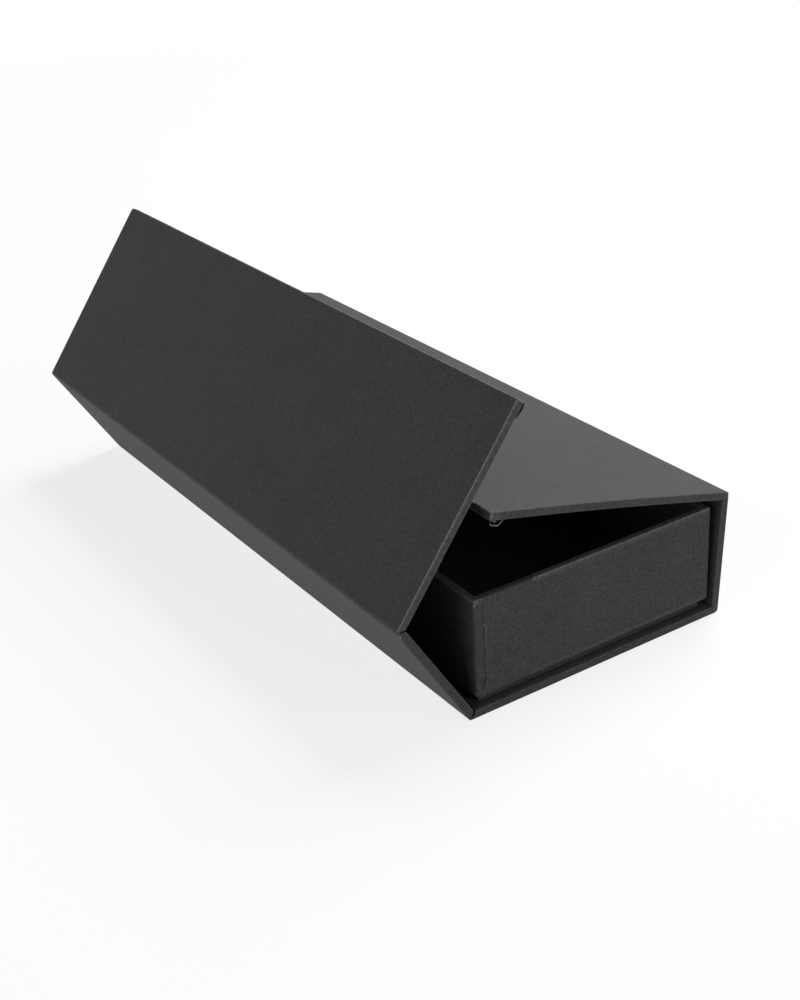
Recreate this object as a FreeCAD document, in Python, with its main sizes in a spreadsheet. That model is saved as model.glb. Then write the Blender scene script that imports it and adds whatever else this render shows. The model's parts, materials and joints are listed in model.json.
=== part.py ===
import FreeCAD, Part
import Sketcher
import os
import re

# Book-style gift box: a covered board casing of five panels (base, two walls, a lid and an
# overlapping flap) folds round a fixed open tray.
# Origin: centre of the base's underside. +X right, +Y along the box, +Z up.
# The panels stand at the angles at which the box lies open.

doc = FreeCAD.newDocument("gift_box")

# ---------------------------------------------------------------------------------------
# Driving sizes, in millimetres and degrees
# ---------------------------------------------------------------------------------------
SIZES = [
    ("casing_width", 96.0, "closed casing, outside of left wall to outside of right wall"),
    ("casing_length", 240.0, "all five casing panels, end to end"),
    ("right_wall_height", 41.5, "table to the top of the closed lid"),
    ("flap_width", 70.9, "outside of left wall to free edge of the closed flap"),
    ("board", 2.3, "greyboard of the casing"),
    ("paper", 0.17, "covering and lining paper"),
    ("turn_in", 15.0, "covering paper turned over onto the inside of a panel"),
    ("liner_inset", 2.0, "lining paper back from a panel's edge"),
    ("fold_gap", 0.2, "board edge clear of a fold"),
    ("tongue_gap", 0.1, "covering paper of a panel clear of a fold strip"),
    ("flap_gap", 1.0, "closed flap above closed lid"),
    ("lid_side_gap", 1.8, "free edge of closed lid to left wall"),
    ("lid_tray_gap", 1.0, "closed lid above tray rim"),
    ("left_splay", 31.2, "left wall outwards from upright"),
    ("flap_rise", 53.1, "flap above level"),
    ("right_lean", 3.7, "right wall outwards from upright"),
    ("lid_rise", 14.3, "lid above level"),
    ("magnet_radius", 6.0, "closing magnet"),
    ("magnet_height", 1.5, "closing magnet"),
    ("steel_radius", 7.0, "steel disc that the magnet meets"),
    ("steel_height", 1.0, "steel disc that the magnet meets"),
    ("disc_clearance", 0.15, "pocket wider than its disc, in radius"),
    ("magnet_edge", 12.0, "magnet centre back from the flap's free edge"),
    ("magnet_end", 45.0, "magnet centre in from the panel's end"),
    ("tray_side_gap", 0.9, "tray to each closed casing wall"),
    ("tray_near_gap", 1.0, "tray back from the near end of the base"),
    ("tray_far_gap", 1.0, "tray back from the far end of the base"),
    ("seat_height", 3.0, "covered board that raises the tray off the base"),
    ("seat_inset", 2.2, "seat board's edges in from the tray's outside"),
    ("tray_board", 2.0, "greyboard of the tray"),
    ("stay_paper", 0.1, "corner stay tape"),
    ("stay_leg", 9.0, "corner stay tape round each side of a corner"),
    ("stay_end_gap", 1.5, "corner stay tape short of the tray's rim and foot"),
    ("rim_turn_in", 15.0, "tray covering turned over the rim, down the inside"),
    ("foot_turn_in", 12.0, "tray and seat coverings turned under"),
    ("lining_inset", 2.0, "tray side lining below the rim"),
]

sheet = doc.addObject("Spreadsheet::Sheet", "Sizes")
for row, (alias, value, note) in enumerate(SIZES, start=1):
    sheet.set(f"A{row}", alias)
    sheet.set(f"B{row}", str(value))
    sheet.set(f"C{row}", note)
    sheet.setAlias(f"B{row}", alias)
doc.recompute()

ALIASES = {alias for alias, value, note in SIZES}


def on_sheet(formula):
    """Turns the size names in a formula into cells of the sheet."""
    return re.sub(
        r"[a-z_]+", lambda m: "Sizes." + m.group() if m.group() in ALIASES else m.group(), formula
    )


def bind(obj, **formulas):
    for prop, formula in formulas.items():
        obj.setExpression(prop.replace("__", "."), on_sheet(formula))


# ---------------------------------------------------------------------------------------
# Worked-out lengths, as formulas on the sheet
# ---------------------------------------------------------------------------------------
THICK = "(board + 3 * paper)"
HALF = f"({THICK} / 2)"  # every fold turns about the middle of the panels' thickness
BOARD_OUT = f"({HALF} - paper)"
BOARD_IN = f"({BOARD_OUT} - board)"
EDGE = f"({HALF} + fold_gap)"  # a board's edge from the fold's axis
TONGUE = f"(sqrt(({HALF} + tongue_gap)^2 - {BOARD_OUT}^2))"
AXES_SPAN = f"(casing_width - 2 * {HALF})"
RIGHT_SPAN = f"(right_wall_height - 2 * {HALF})"
LEFT_SPAN = f"({RIGHT_SPAN} + {THICK} + flap_gap)"
LID_END = f"(casing_width - {THICK} - lid_side_gap - {HALF})"
FLAP_END = f"(flap_width - {HALF})"
HALF_LENGTH = "(casing_length / 2)"

MAGNET_U = f"({FLAP_END} - magnet_edge)"
STEEL_U = f"({AXES_SPAN} - {MAGNET_U})"  # under the magnets once lid and flap are shut
DISC_Y = f"({HALF_LENGTH} - magnet_end)"

# Fold axes, and how steeply each panel rises from its fold, turning from +X towards +Z
LEFT_X = f"(-{AXES_SPAN} / 2)"
RIGHT_X = f"({AXES_SPAN} / 2)"
LEFT_RISE = "(90 + left_splay)"
RIGHT_RISE = "(90 - right_lean)"
LID_RISE = "(180 - lid_rise)"
LEFT_TOP_X = f"({LEFT_X} + {LEFT_SPAN} * cos({LEFT_RISE} * 1 deg))"
LEFT_TOP_Z = f"({HALF} + {LEFT_SPAN} * sin({LEFT_RISE} * 1 deg))"
RIGHT_TOP_X = f"({RIGHT_X} + {RIGHT_SPAN} * cos({RIGHT_RISE} * 1 deg))"
RIGHT_TOP_Z = f"({HALF} + {RIGHT_SPAN} * sin({RIGHT_RISE} * 1 deg))"

# Tray: outside, boards' outer faces, walls' inner faces
TRAY_X = f"(casing_width / 2 - {THICK} - tray_side_gap)"
TRAY_NEAR = f"(-{HALF_LENGTH} + tray_near_gap)"
TRAY_FAR = f"({HALF_LENGTH} - tray_far_gap)"
TRAY_TOP = f"(right_wall_height - {THICK} - lid_tray_gap)"
SKIN = "(paper + stay_paper)"
TRAY_WALL = f"({SKIN} + tray_board)"
SEAT_TOP = f"({THICK} + seat_height)"
FLOOR_LOW = f"({SEAT_TOP} + paper)"
FLOOR_TOP = f"({FLOOR_LOW} + tray_board)"
BOARD_TOP = f"({TRAY_TOP} - paper)"


# ---------------------------------------------------------------------------------------
# Building blocks
# ---------------------------------------------------------------------------------------
def minus(formula):
    return f"(-({formula}))"


def both_ways(half):
    return (minus(half), half)


def block(name, x, y, z):
    """A plain block between two formulas along each axis."""
    box = doc.addObject("Part::Box", name)
    for prop, axis, (low, high) in zip(("Length", "Width", "Height"), "xyz", (x, y, z)):
        box.setExpression(prop, on_sheet(f"{high} - {low}"))
        box.setExpression(f"Placement.Base.{axis}", on_sheet(low))
    return box


def cut(name, body, tool):
    result = doc.addObject("Part::Cut", name)
    result.Base = body
    result.Tool = tool
    return result


def fuse(name, pieces):
    result = doc.addObject("Part::MultiFuse", name)
    result.Shapes = pieces
    return result


def plane_of(body, role):
    return next(f for f in body.Origin.OriginFeatures if f.Role == role)


def board_blank(name, x, y, z):
    """A rectangle of greyboard: a body padded from one dimensioned sketch."""
    body = doc.addObject("PartDesign::Body", name)
    sketch = body.newObject("Sketcher::SketchObject", f"{name}_outline")
    sketch.AttachmentSupport = (plane_of(body, "XY_Plane"), [""])
    sketch.MapMode = "FlatFace"
    corners = [(0, 0), (10, 0), (10, 10), (0, 10)]
    for start, stop in zip(corners, corners[1:] + corners[:1]):
        sketch.addGeometry(
            Part.LineSegment(FreeCAD.Vector(*start, 0), FreeCAD.Vector(*stop, 0))
        )
    for side in range(4):
        sketch.addConstraint(Sketcher.Constraint("Coincident", side, 2, (side + 1) % 4, 1))
    for side in (0, 2):
        sketch.addConstraint(Sketcher.Constraint("Horizontal", side))
    for side in (1, 3):
        sketch.addConstraint(Sketcher.Constraint("Vertical", side))
    sketch.addConstraint(Sketcher.Constraint("Coincident", 0, 1, -1, 1))
    wide = sketch.addConstraint(Sketcher.Constraint("DistanceX", 0, 1, 0, 2, 10))
    deep = sketch.addConstraint(Sketcher.Constraint("DistanceY", 1, 1, 1, 2, 10))
    sketch.renameConstraint(wide, "wide")
    sketch.renameConstraint(deep, "deep")
    pad = body.newObject("PartDesign::Pad", f"{name}_pad")
    pad.Profile = sketch
    bind(
        sketch,
        Constraints__wide=f"{x[1]} - {x[0]}",
        Constraints__deep=f"{y[1]} - {y[0]}",
        AttachmentOffset__Base__x=x[0],
        AttachmentOffset__Base__y=y[0],
        AttachmentOffset__Base__z=z[0],
    )
    bind(pad, Length=f"{z[1]} - {z[0]}")
    return body


def disc_pocket(body, name, u, y, w, radius):
    """A round pocket through part of a board's thickness."""
    pocket = body.newObject("PartDesign::SubtractiveCylinder", name)
    pocket.AttachmentSupport = (plane_of(body, "XY_Plane"), [""])
    pocket.MapMode = "FlatFace"
    bind(
        pocket,
        Radius=radius,
        Height=f"{w[1]} - {w[0]}",
        AttachmentOffset__Base__x=u,
        AttachmentOffset__Base__y=y,
        AttachmentOffset__Base__z=w[0],
    )


def turned(obj, x, z, rise):
    """Stands a panel's own frame on a fold's axis, its width rising by an angle from level."""
    about_y = FreeCAD.Rotation(FreeCAD.Vector(0, 1, 0), 90)
    obj.Placement = FreeCAD.Placement(FreeCAD.Vector(0, 0, 0), about_y)
    bind(obj, Placement__Base__x=x, Placement__Base__z=z, Placement__Rotation__Angle=minus(rise))
    return obj


# ---------------------------------------------------------------------------------------
# Casing panels: greyboard, covering paper with its turn-ins, lining paper
# A panel's own frame: X across it from its first fold, Y along the box, Z out of its
# outer face, or into it on the panels that start at the base's other side
# ---------------------------------------------------------------------------------------
class Panel:
    def __init__(self, name, end, free_edge, outside, x, z, rise):
        self.name = name
        self.end = end  # second fold's axis, or the free edge
        self.free_edge = free_edge
        self.outside = outside
        self.seat = (x, z, rise)
        if free_edge:
            self.board_end = f"({end} - paper)"
            self.cover_end = end
            self.window_end = f"({end} - turn_in)"
        else:
            self.board_end = self.cover_end = self.window_end = f"({end} - {EDGE})"

    def faced(self, low, high):
        """A span of thickness, given towards the outer face."""
        return (low, high) if self.outside > 0 else (minus(high), minus(low))

    def make_board(self):
        y = both_ways(f"({HALF_LENGTH} - paper)")
        w = self.faced(BOARD_IN, BOARD_OUT)
        body = board_blank(f"{self.name}_board", (EDGE, self.board_end), y, w)
        return turned(body, *self.seat)

    def make_wrap(self):
        name = f"{self.name}_wrap"
        inner = f"({BOARD_IN} - paper)"
        length = both_ways(HALF_LENGTH)
        outer_sheet = self.faced(BOARD_OUT, HALF)
        pieces = [
            block(f"{name}_slab", (EDGE, self.cover_end), length, self.faced(inner, HALF)),
            block(f"{name}_tongue", (TONGUE, EDGE), length, outer_sheet),
        ]
        if not self.free_edge:
            reach = (self.cover_end, f"({self.end} - {TONGUE})")
            pieces.append(block(f"{name}_second_tongue", reach, length, outer_sheet))
        core = block(
            f"{name}_core",
            (EDGE, self.board_end),
            both_ways(f"({HALF_LENGTH} - paper)"),
            self.faced(BOARD_IN, BOARD_OUT),
        )
        window = block(
            f"{name}_window",
            (EDGE, self.window_end),
            both_ways(f"({HALF_LENGTH} - turn_in)"),
            self.faced(inner, BOARD_IN),
        )
        sheet_round = fuse(f"{name}_sheet", pieces)
        hollow = fuse(f"{name}_hollow", [core, window])
        return turned(cut(name, sheet_round, hollow), *self.seat)

    def make_liner(self):
        """One sheet that lies on the turn-ins round its border and on the board inside them."""
        name = f"{self.name}_liner"
        top = f"({minus(HALF)} + paper)"
        board_side = f"({minus(HALF)} + 2 * paper)"
        edge_end = f"({self.end} - liner_inset)" if self.free_edge else self.cover_end
        dip_end = f"({self.window_end} - paper)" if self.free_edge else self.cover_end
        surface = self.faced(minus(HALF), top)
        raised = block(
            f"{name}_raised",
            (EDGE, edge_end),
            both_ways(f"({HALF_LENGTH} - liner_inset)"),
            surface,
        )
        dip = block(
            f"{name}_dip",
            (EDGE, dip_end),
            both_ways(f"({HALF_LENGTH} - turn_in - paper)"),
            surface,
        )
        middle = block(
            f"{name}_middle",
            (EDGE, self.window_end),
            both_ways(f"({HALF_LENGTH} - turn_in)"),
            self.faced(top, board_side),
        )
        border = cut(f"{name}_border", raised, dip)
        return turned(fuse(name, [border, middle]), *self.seat)

    def make_discs(self, name, board, u, w, radius):
        """Two discs sunk in the board, one near each end, and their pockets."""
        low_high = self.faced(*w)
        discs = []
        for end, y in (("near", minus(DISC_Y)), ("far", DISC_Y)):
            disc_pocket(
                board, f"{name}_{end}_pocket", u, y, low_high, f"({radius} + disc_clearance)"
            )
            disc = doc.addObject("Part::Cylinder", f"{name}_{end}")
            bind(
                disc,
                Radius=radius,
                Height=f"{low_high[1]} - {low_high[0]}",
                Placement__Base__x=u,
                Placement__Base__y=y,
                Placement__Base__z=low_high[0],
            )
            discs.append(disc)
        return turned(fuse(name, discs), *self.seat)


def fold_strip(name, x, z):
    """Covering and lining paper bent round a fold: a paper tube on the fold's axis."""
    rounds = []
    for part_name, radius in (("outside", HALF), ("inside", f"({HALF} - 2 * paper)")):
        rod = doc.addObject("Part::Cylinder", f"{name}_{part_name}")
        bind(rod, Radius=radius, Height="casing_length")
        rounds.append(rod)
    strip = cut(name, *rounds)
    along_y = FreeCAD.Rotation(FreeCAD.Vector(1, 0, 0), -90)
    strip.Placement = FreeCAD.Placement(FreeCAD.Vector(0, 0, 0), along_y)
    bind(
        strip,
        Placement__Base__x=x,
        Placement__Base__y=minus(HALF_LENGTH),
        Placement__Base__z=z,
    )
    return strip


panels = [
    Panel("base", AXES_SPAN, False, -1, LEFT_X, HALF, "0"),
    Panel("left_wall", LEFT_SPAN, False, 1, LEFT_X, HALF, LEFT_RISE),
    Panel("left_flap", FLAP_END, True, 1, LEFT_TOP_X, LEFT_TOP_Z, "flap_rise"),
    Panel("right_wall", RIGHT_SPAN, False, -1, RIGHT_X, HALF, RIGHT_RISE),
    Panel("right_lid", LID_END, True, -1, RIGHT_TOP_X, RIGHT_TOP_Z, LID_RISE),
]
boards = {panel.name: panel.make_board() for panel in panels}
nodes = list(boards.values())
for panel in panels:
    nodes.append(panel.make_wrap())
    nodes.append(panel.make_liner())
    if panel.name == "left_flap":
        sunk = (BOARD_IN, f"({BOARD_IN} + magnet_height)")
        nodes.append(
            panel.make_discs("flap_magnets", boards[panel.name], MAGNET_U, sunk, "magnet_radius")
        )
    if panel.name == "right_lid":
        sunk = (f"({BOARD_OUT} - steel_height)", BOARD_OUT)
        nodes.append(
            panel.make_discs("lid_steel_discs", boards[panel.name], STEEL_U, sunk, "steel_radius")
        )

for name, x, z in (
    ("left_bottom_fold", LEFT_X, HALF),
    ("left_top_fold", LEFT_TOP_X, LEFT_TOP_Z),
    ("right_bottom_fold", RIGHT_X, HALF),
    ("right_top_fold", RIGHT_TOP_X, RIGHT_TOP_Z),
):
    nodes.append(fold_strip(name, x, z))


# ---------------------------------------------------------------------------------------
# Tray: its covered seat board on the base, five boards, corner stays, covering paper,
# side lining and floor lining
# ---------------------------------------------------------------------------------------
def inside_tray(inset):
    """The tray's plan, brought in from its outside by a formula, as X and Y spans."""
    x = (f"(-({TRAY_X}) + {inset})", f"({TRAY_X} - {inset})")
    y = (f"({TRAY_NEAR} + {inset})", f"({TRAY_FAR} - {inset})")
    return x, y


def sleeve(name, outer_inset, inner_inset, z):
    """A rectangular ring of the tray's plan between two insets, over a height."""
    outer = block(f"{name}_outer", *inside_tray(outer_inset), z)
    inner = block(f"{name}_inner", *inside_tray(inner_inset), z)
    return cut(name, outer, inner)


seat_edge = "(seat_inset + paper)"
seat_z = (f"({THICK} + paper)", f"({SEAT_TOP} - paper)")
nodes += [
    board_blank("tray_seat_board", *inside_tray(seat_edge), seat_z),
    fuse(
        "tray_seat_wrap",
        [
            block("seat_wrap_top", *inside_tray("seat_inset"), (seat_z[1], SEAT_TOP)),
            sleeve("seat_wrap_edge", "seat_inset", seat_edge, (THICK, SEAT_TOP)),
            sleeve("seat_wrap_foot", "seat_inset", "(seat_inset + foot_turn_in)", (THICK, seat_z[0])),
        ],
    ),
]

board_x, board_y = inside_tray(SKIN)
room_x, room_y = inside_tray(TRAY_WALL)
wall_z = (FLOOR_LOW, BOARD_TOP)
nodes += [
    board_blank("tray_floor_board", room_x, room_y, (FLOOR_LOW, FLOOR_TOP)),
    board_blank("tray_left_board", (board_x[0], room_x[0]), board_y, wall_z),
    board_blank("tray_right_board", (room_x[1], board_x[1]), board_y, wall_z),
    board_blank("tray_near_board", room_x, (board_y[0], room_y[0]), wall_z),
    board_blank("tray_far_board", room_x, (room_y[1], board_y[1]), wall_z),
]

# Each stay is an L of tape: what is left of a sleeve once its long and short sides go
stay_z = (f"({FLOOR_LOW} + stay_end_gap)", f"({BOARD_TOP} - stay_end_gap)")
stay_ring = sleeve("stay_ring", "paper", SKIN, stay_z)
leg_x, leg_y = inside_tray("stay_leg")
whole_x, whole_y = inside_tray("0")
middles = fuse(
    "stay_ring_middles",
    [block("stay_ring_ends", leg_x, whole_y, stay_z), block("stay_ring_sides", whole_x, leg_y, stay_z)],
)
nodes.append(cut("tray_corner_stays", stay_ring, middles))

rim_inner = f"({TRAY_WALL} + paper)"
nodes.append(
    fuse(
        "tray_wrap",
        [
            sleeve("tray_wrap_outside", "0", "paper", (SEAT_TOP, TRAY_TOP)),
            sleeve("tray_wrap_rim", "0", rim_inner, (BOARD_TOP, TRAY_TOP)),
            sleeve("tray_wrap_inside", TRAY_WALL, rim_inner, (f"({TRAY_TOP} - rim_turn_in)", TRAY_TOP)),
            sleeve("tray_wrap_foot", "0", "foot_turn_in", (SEAT_TOP, FLOOR_LOW)),
        ],
    )
)

# The side lining lies on the wall boards, and steps out over the covering's turned-in edge
step_z = f"({TRAY_TOP} - rim_turn_in)"
lining_inner = f"({rim_inner} + paper)"
nodes.append(
    fuse(
        "tray_side_lining",
        [
            sleeve("tray_lining_low", TRAY_WALL, rim_inner, (FLOOR_TOP, step_z)),
            sleeve(
                "tray_lining_high",
                rim_inner,
                lining_inner,
                (f"({step_z} - paper)", f"({TRAY_TOP} - lining_inset)"),
            ),
        ],
    )
)
nodes.append(
    block("tray_floor_lining", *inside_tray(rim_inner), (FLOOR_TOP, f"({FLOOR_TOP} + paper)"))
)

# ---------------------------------------------------------------------------------------
# Recompute, check and write
# ---------------------------------------------------------------------------------------
doc.recompute()
for obj in doc.Objects:
    if "Invalid" in obj.State or "Error" in obj.State:
        raise RuntimeError(f"{obj.Label} failed: {obj.State}")
for obj in nodes:
    if obj.Shape.isNull() or not obj.Shape.isValid():
        raise RuntimeError(f"{obj.Label} has no valid shape")

os.makedirs("parts", exist_ok=True)
for obj in nodes:
    obj.Shape.exportStep(os.path.join("parts", obj.Label + ".step"))
    bounds = obj.Shape.BoundBox
    print(
        f"{obj.Label}: {len(obj.Shape.Solids)} solid(s), {obj.Shape.Volume:.1f} mm3, "
        f"x {bounds.XMin:.2f} {bounds.XMax:.2f}, y {bounds.YMin:.2f} {bounds.YMax:.2f}, "
        f"z {bounds.ZMin:.2f} {bounds.ZMax:.2f}"
    )
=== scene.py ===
import json
import math

import bmesh
import bpy
from mathutils import Euler, Matrix, Vector, noise


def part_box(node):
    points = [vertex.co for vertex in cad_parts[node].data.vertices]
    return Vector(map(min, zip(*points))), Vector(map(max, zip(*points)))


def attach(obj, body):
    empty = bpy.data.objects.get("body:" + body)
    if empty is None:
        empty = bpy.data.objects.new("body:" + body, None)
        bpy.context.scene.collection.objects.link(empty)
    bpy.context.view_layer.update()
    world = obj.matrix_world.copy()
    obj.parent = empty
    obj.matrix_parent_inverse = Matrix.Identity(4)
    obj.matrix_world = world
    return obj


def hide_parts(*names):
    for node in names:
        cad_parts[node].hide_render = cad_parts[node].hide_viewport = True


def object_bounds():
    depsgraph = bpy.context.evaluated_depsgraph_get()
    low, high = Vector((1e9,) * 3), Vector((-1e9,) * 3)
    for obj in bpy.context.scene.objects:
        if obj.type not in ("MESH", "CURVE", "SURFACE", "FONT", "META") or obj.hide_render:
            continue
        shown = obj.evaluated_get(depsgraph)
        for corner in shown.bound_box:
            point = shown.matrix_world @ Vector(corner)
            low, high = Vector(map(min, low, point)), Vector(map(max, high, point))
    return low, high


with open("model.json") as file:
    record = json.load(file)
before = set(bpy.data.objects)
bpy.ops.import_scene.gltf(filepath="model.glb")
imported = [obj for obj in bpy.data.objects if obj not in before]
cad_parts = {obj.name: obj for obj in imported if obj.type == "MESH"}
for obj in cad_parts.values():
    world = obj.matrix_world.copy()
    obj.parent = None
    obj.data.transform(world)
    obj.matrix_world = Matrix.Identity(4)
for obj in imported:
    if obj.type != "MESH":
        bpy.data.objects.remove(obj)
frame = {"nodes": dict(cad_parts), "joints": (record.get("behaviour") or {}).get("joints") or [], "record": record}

cad_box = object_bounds()
MM = 0.001

# ---------------------------------------------------------------------------------------
# Greyboard: recycled board, 2.3 mm in the casing and 2 mm in the tray, cut on a guillotine.
# The paper drawn over it presses its cut edges round. The lid's board has warped a little.
# ---------------------------------------------------------------------------------------


class Wire:
    """A socket of a node tree. Arithmetic on it adds Math nodes to the tree."""

    def __init__(self, tree, socket=None):
        self.tree = tree
        self.socket = socket

    def node(self, kind, settings={}, inputs={}, output=0):
        made = self.tree.nodes.new(kind)
        for name, value in settings.items():
            setattr(made, name, value)
        for key, value in inputs.items():
            if isinstance(value, Wire):
                self.tree.links.new(value.socket, made.inputs[key])
            else:
                made.inputs[key].default_value = value
        return Wire(self.tree, made.outputs[output] if made.outputs else None)

    def maths(self, operation, *values):
        return self.node("ShaderNodeMath", {"operation": operation}, dict(enumerate(values)))

    def __add__(self, other):
        return self.maths("ADD", self, other)

    def __sub__(self, other):
        return self.maths("SUBTRACT", self, other)

    def __rsub__(self, other):
        return self.maths("SUBTRACT", other, self)

    def __mul__(self, other):
        return self.maths("MULTIPLY", self, other)

    __radd__ = __add__
    __rmul__ = __mul__

    def stretch(self, low, high, to_low=0.0, to_high=1.0):
        """Carries the range low to high over to another, and holds it there."""
        limits = {0: self, 1: low, 2: high, 3: to_low, 4: to_high}
        return self.node("ShaderNodeMapRange", {}, limits)

    def between(self, dark, light):
        """The colour from dark to light at this share of the way."""
        return self.node("ShaderNodeMix", {"data_type": "RGBA"}, {0: self, 6: dark, 7: light}, 2)

    def place(self):
        """Where a point is on the piece itself."""
        return self.node("ShaderNodeTexCoord", {}, {}, 3)

    def grain(self, place, size, detail=2.0, roughness=0.5):
        """Soft noise whose features are about the given size."""
        inputs = {0: place, 2: 1 / size, 3: detail, 4: roughness}
        return self.node("ShaderNodeTexNoise", {}, inputs)

    def surface(self, **sockets):
        """The material's shader, on its output."""
        named = {name.replace("_", " "): value for name, value in sockets.items()}
        shader = self.node("ShaderNodeBsdfPrincipled", {}, named)
        self.node("ShaderNodeOutputMaterial", {}, {"Surface": shader})


def grey(level, warmth=0.0):
    return (level * (1 + warmth), level, level * (1 - warmth), 1)


def new_finish(name):
    """An empty material and a wire to its nodes."""
    finish = bpy.data.materials.new(name)
    finish.use_nodes = True
    finish.node_tree.nodes.clear()
    return finish, Wire(finish.node_tree)


def recycled_board():
    finish, wire = new_finish("greyboard")
    place = wire.place()
    pulp = wire.grain(place, 1.4 * MM, 4.0, 0.6)
    flecks = wire.grain(place, 0.5 * MM).stretch(0.62, 0.72)
    layers = wire.grain(place, 6 * MM)
    shade = (pulp * 0.7 + layers * 0.3).between(grey(0.19, 0.05), grey(0.29, 0.07))
    bump = wire.node(
        "ShaderNodeBump", {}, {"Strength": 0.5, "Distance": 0.08 * MM, "Height": pulp}
    )
    wire.surface(
        Base_Color=(flecks * 0.5).between(shade, grey(0.10, 0.03)),
        Roughness=0.82 + pulp * 0.12,
        Normal=bump,
    )
    return finish


folds = {joint["name"]: joint for joint in frame["joints"]}
body_of = {
    node: body
    for body, nodes in frame["record"]["behaviour"]["bodies"].items()
    for node in nodes
}
half_thick = folds["left_wall_fold"]["pos_m"][2]
half_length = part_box("base_wrap")[1].y
board_low, board_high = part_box("base_board")
paper = (2 * half_thick - (board_high.z - board_low.z)) / 3
board_press = 0.3 * MM
shortest_arris = 1.9 * MM


class Panel:
    """A casing panel at rest: u runs across it from its fold, y along the box, w out of it.
    Its habits are its corners' roundness, its bow, how pale its edges are painted for wear and painted highlight,
    and its tucks' depth."""

    def __init__(self, name, fold, rise, facing, next_fold=None, **habits):
        self.name = name
        self.corner = habits.get("corner", 0.0)
        self.far_corner = habits.get("far_corner", 0.0)
        self.bow = habits.get("bow", 0.0)
        self.wear = habits.get("wear", 0.3)
        self.end_wear = habits.get("end_wear", 0.25)
        self.tuck_deep = habits.get("tuck_deep", 0.0)
        self.axis = Vector(folds[fold]["pos_m"])
        slope = math.radians(rise)
        self.across = Vector((math.cos(slope), 0, math.sin(slope)))
        outwards = Vector((-math.sin(slope), 0, math.cos(slope))) * facing
        turn = Matrix(
            (
                (self.across.x, 0, outwards.x),
                (0, 1, 0),
                (self.across.z, 0, outwards.z),
            )
        )
        self.outwards = outwards
        self.place = Matrix.Translation(self.axis) @ turn.to_4x4()
        self.free_edge = next_fold is None
        if self.free_edge:
            wrap = frame["nodes"][name + "_wrap"].data.vertices
            self.width = max((v.co - self.axis).dot(self.across) for v in wrap)
        else:
            self.width = (Vector(folds[next_fold]["pos_m"]) - self.axis).length

    def shaped(self, point):
        """The point after the panel's warp, highest midway across, and its blunted far corner."""
        u, y, w = point
        share = u / self.width
        w += self.bow * 4 * share * (1 - share)
        in_u = u - (self.width - self.far_corner)
        in_y = y - (half_length - self.far_corner)
        if min(in_u, in_y) > 0:
            blunt = max(in_u, in_y) / math.hypot(in_u, in_y)
            u, y = u - in_u * (1 - blunt), y - in_y * (1 - blunt)
        return u, y, w


right_rise = folds["right_wall_fold"]["range_deg"][1]
left_rise = 180 - folds["left_wall_fold"]["range_deg"][1]
flap_rise = left_rise - folds["flap_fold"]["range_deg"][1]
lid_rise = right_rise + folds["lid_fold"]["range_deg"][1]
panels = {
    "base": Panel("base", "left_wall_fold", 0, -1, "right_wall_fold"),
    "left_wall": Panel("left_wall", "left_wall_fold", left_rise, 1, "flap_fold"),
    "left_flap": Panel(
        "left_flap",
        "flap_fold",
        flap_rise,
        1,
        corner=0.5 * MM,
        far_corner=1.6 * MM,
        wear=1.1,
        end_wear=1.5,
    ),
    "right_wall": Panel("right_wall", "right_wall_fold", right_rise, -1, "lid_fold"),
    "right_lid": Panel(
        "right_lid",
        "lid_fold",
        lid_rise,
        -1,
        corner=0.5 * MM,
        bow=0.55 * MM,
        wear=1.3,
        end_wear=0.4,
        tuck_deep=0.13 * MM,
    ),
}


def steps(low, high, spacing):
    """Evenly spaced values from low to high, both included."""
    count = max(1, round((high - low) / spacing))
    return [low + (high - low) * i / count for i in range(count + 1)]


def shade_by_angle(mesh, sharp=38):
    mesh.shade_smooth()
    mesh.set_sharp_from_angle(angle=math.radians(sharp))


def added_to(piece, node, finish):
    """Puts a new piece in the scene, of the same body and material as a solid."""
    bpy.context.scene.collection.objects.link(piece)
    piece.data.materials.clear()
    piece.data.materials.append(finish)
    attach(piece, body_of[node])


def standing_for(piece, node, finish):
    """Puts a new piece in the scene in place of a solid."""
    added_to(piece, node, finish)
    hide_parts(node)


def press_round(work, edges, radius):
    """Rounds the given edges of a solid, as pressing or sanding does."""
    bmesh.ops.bevel(
        work, geom=edges, offset=radius, segments=3, profile=0.5, affect="EDGES"
    )


def long_arrises(work):
    """The long edges of a cut solid between faces that meet at an angle."""
    return [
        edge
        for edge in work.edges
        if edge.calc_length() > shortest_arris
        and edge.is_manifold
        and edge.calc_face_angle() > math.radians(60)
    ]


def pressed_copy(node, name, finish, press, upright=Vector((0, 0, 1)), corner=0.0, panel=None):
    """A copy of a cut solid with its upright corners and long arrises rounded, and warped
    with its panel."""
    work = bmesh.new()
    work.from_mesh(frame["nodes"][node].data)
    bmesh.ops.remove_doubles(work, verts=work.verts, dist=0.002 * MM)
    bmesh.ops.dissolve_limit(
        work, angle_limit=math.radians(1), verts=work.verts, edges=work.edges
    )
    if corner:
        ends = [
            edge
            for edge in long_arrises(work)
            if abs((edge.verts[1].co - edge.verts[0].co).normalized().dot(upright)) > 0.999
        ]
        press_round(work, ends, corner)
    if press:
        press_round(work, long_arrises(work), press)
    if panel and (panel.bow or panel.far_corner):
        back = panel.place.inverted()
        for u in steps(0, panel.width, 8 * MM)[1:-1]:
            cut_at = panel.place @ Vector((u, 0, 0))
            everything = work.verts[:] + work.edges[:] + work.faces[:]
            bmesh.ops.bisect_plane(
                work, geom=everything, plane_co=cut_at, plane_no=panel.across
            )
        for vert in work.verts:
            vert.co = panel.place @ Vector(panel.shaped(back @ vert.co))
    mesh = bpy.data.meshes.new(name)
    work.to_mesh(mesh)
    work.free()
    shade_by_angle(mesh, 30)
    piece = bpy.data.objects.new(name, mesh)
    standing_for(piece, node, finish)


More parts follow.
